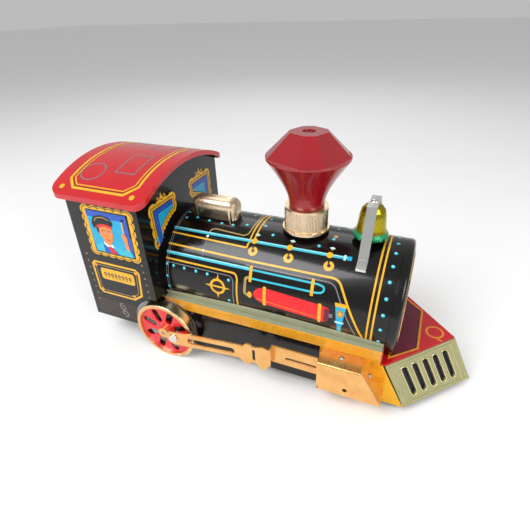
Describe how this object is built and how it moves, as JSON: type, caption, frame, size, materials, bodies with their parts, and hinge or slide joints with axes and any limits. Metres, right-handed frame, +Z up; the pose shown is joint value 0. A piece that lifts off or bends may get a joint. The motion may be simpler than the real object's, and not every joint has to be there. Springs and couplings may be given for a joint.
{
  "type": "tin clockwork train locomotive",
  "caption": "Wind-up tin locomotive with a cab, boiler, diamond stack, bell, slotted V pilot, driving wheels and side rods.",
  "frame": {"origin": "on the floor, on the middle plane, straight below the driving axle", "axes": "+X towards the pilot, +Y to the locomotive's left, +Z up"},
  "size_m": [0.2559, 0.1145, 0.1482],
  "materials": {
    "black_tin": "gloss printed tin",
    "red_tin": "gloss printed tin",
    "board_tin": "gloss printed tin with yellow edges",
    "gold_tin": "gloss gold lacquered tin",
    "grille_tin": "silver and olive lacquered tin",
    "wheel_tin": "red printed tin with a gold rim",
    "plated_plastic": "gold plated moulded plastic",
    "red_plastic": "gloss moulded plastic",
    "bell_metal": "lacquered pressed metal",
    "bright_steel": "nickel plated",
    "steel": "drawn and turned",
    "brass_gear": "stamped",
    "spring_steel": "blued strip"
  },
  "bodies": {
    "body": {"running_board": "board_tin", "casing_screws": "steel", "pilot_grille": "grille_tin", "pilot_deck": "red_tin", "boiler_shell": "black_tin", "boiler_cap": "black_tin", "cab_roof": "red_tin", "cab_sides": "black_tin", "cab_front": "black_tin", "sand_dome": "plated_plastic", "stack_collar": "plated_plastic", "diamond_stack": "red_plastic", "stack_screw": "steel", "bell": "bell_metal", "bell_bracket": "bright_steel", "bell_rivet": "bright_steel", "motor_pillars": "steel", "mainspring": "spring_steel", "side_skirt_right": "black_tin", "apron_right": "gold_tin", "cylinder_casing_right": "gold_tin", "motor_plate_right": "steel", "side_skirt_left": "black_tin", "apron_left": "gold_tin", "cylinder_casing_left": "gold_tin", "motor_plate_left": "steel"},
    "driving_wheels": {"drive_axle": "steel", "axle_pinion": "brass_gear", "drive_wheel_right": "wheel_tin", "drive_wheel_left": "wheel_tin", "crank_pin_right": "bright_steel", "crank_pin_left": "bright_steel"},
    "rod_right": {"connecting_rod_right": "gold_tin"},
    "rod_left": {"connecting_rod_left": "gold_tin"},
    "second_shaft": {"second_arbor": "steel", "second_pinion": "brass_gear", "second_wheel": "brass_gear"},
    "governor": {"governor_arbor": "steel", "governor_pinion": "brass_gear", "governor_fly": "steel"},
    "first_wheel": {"great_wheel": "brass_gear"},
    "winding": {"winding_arbor": "steel", "ratchet_wheel": "steel", "winding_key": "bright_steel"},
    "pawl": {"click": "steel"},
    "front_wheels": {"front_axle": "steel", "front_wheel_right": "black_tin", "front_wheel_left": "black_tin"}
  },
  "joints": [
    {"name": "axle_spin", "type": "hinge", "parent": "body", "child": "driving_wheels", "pos_m": [0, 0, 0.022], "axis": [0, 1, 0], "continuous": true},
    {"name": "rod_right_turn", "type": "hinge", "parent": "driving_wheels", "child": "rod_right", "pos_m": [0.009, -0.05, 0.022], "axis": [0, 1, 0], "continuous": true},
    {"name": "rod_left_turn", "type": "hinge", "parent": "driving_wheels", "child": "rod_left", "pos_m": [0.009, 0.05, 0.022], "axis": [0, 1, 0], "continuous": true},
    {"name": "second_spin", "type": "hinge", "parent": "body", "child": "second_shaft", "pos_m": [-0.00829, 0, 0.04129], "axis": [0, 1, 0], "continuous": true},
    {"name": "governor_spin", "type": "hinge", "parent": "body", "child": "governor", "pos_m": [-0.00829, 0, 0.06159], "axis": [0, 1, 0], "continuous": true},
    {"name": "great_wheel_spin", "type": "hinge", "parent": "body", "child": "first_wheel", "pos_m": [-0.033, 0, 0.048], "axis": [0, 1, 0], "continuous": true},
    {"name": "winding_spin", "type": "hinge", "parent": "first_wheel", "child": "winding", "pos_m": [-0.033, 0, 0.048], "axis": [0, 1, 0], "continuous": true},
    {"name": "pawl_swing", "type": "hinge", "parent": "first_wheel", "child": "pawl", "pos_m": [-0.0224, 0, 0.0405], "axis": [0, 1, 0], "range_deg": [0, 14], "stiffness_Nm_per_rad": 0.0002, "springref_deg": -5.73},
    {"name": "front_axle_spin", "type": "hinge", "parent": "body", "child": "front_wheels", "pos_m": [0.118, 0, 0.01], "axis": [0, 1, 0], "continuous": true}
  ],
  "couplings": [
    {"joint": "rod_right_turn", "follows": "axle_spin", "ratio": -1},
    {"joint": "rod_left_turn", "follows": "axle_spin", "ratio": -1},
    {"joint": "second_spin", "follows": "axle_spin", "ratio": -0.25},
    {"joint": "governor_spin", "follows": "axle_spin", "ratio": 1.2},
    {"joint": "great_wheel_spin", "follows": "axle_spin", "ratio": 0.057692}
  ]
}
